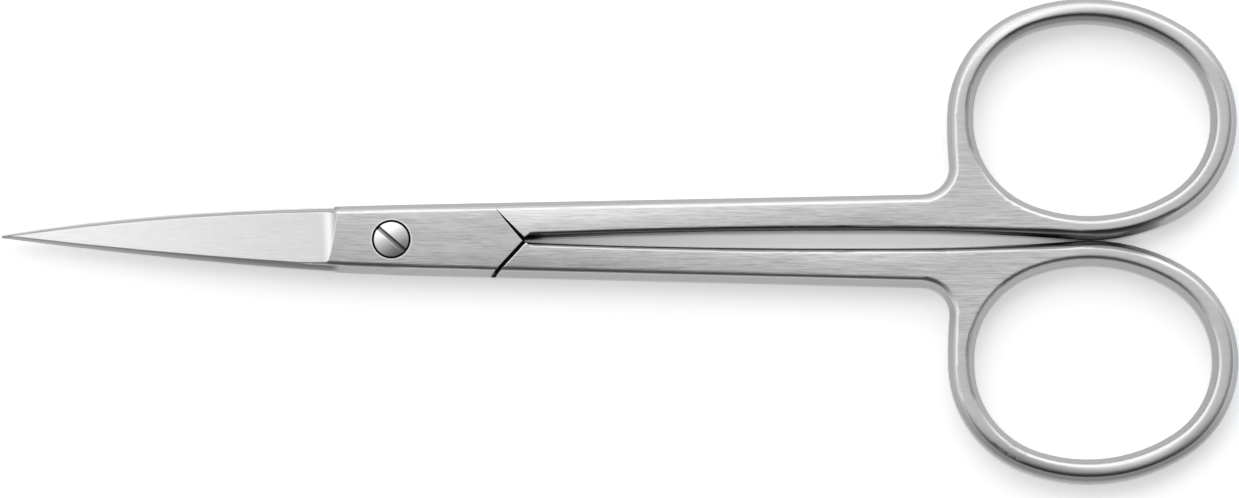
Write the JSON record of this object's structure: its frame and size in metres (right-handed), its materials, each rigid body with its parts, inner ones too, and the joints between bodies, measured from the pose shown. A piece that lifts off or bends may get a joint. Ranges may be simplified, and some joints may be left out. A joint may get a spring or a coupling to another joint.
{
  "type": "iris scissors",
  "caption": "Fine straight surgical scissors with slim pointed blades, a lap joint on a slotted pivot screw, and oval finger rings.",
  "frame": {"origin": "pivot axis of the screw, at the height of the back faces that the closed scissors rest on", "axes": "+X from the pivot to the finger rings, -X to the blade tips, +Z along the pivot axis towards the screw's slotted head, +Y to the front half's ring"},
  "size_m": [0.115, 0.0454, 0.0034],
  "materials": {
    "front_steel": "fine satin brushing along the faces, bright edges",
    "back_steel": "fine satin brushing along the faces, bright edges",
    "screw_steel": "turned, bright"
  },
  "bodies": {
    "back": {"back_half": "back_steel", "screw": "screw_steel"},
    "front": {"front_half": "front_steel"}
  },
  "joints": [
    {"name": "pivot", "type": "hinge", "parent": "back", "child": "front", "pos_m": [0, 0, 0], "axis": [0, 0, 1], "range_deg": [0, 140]}
  ]
}
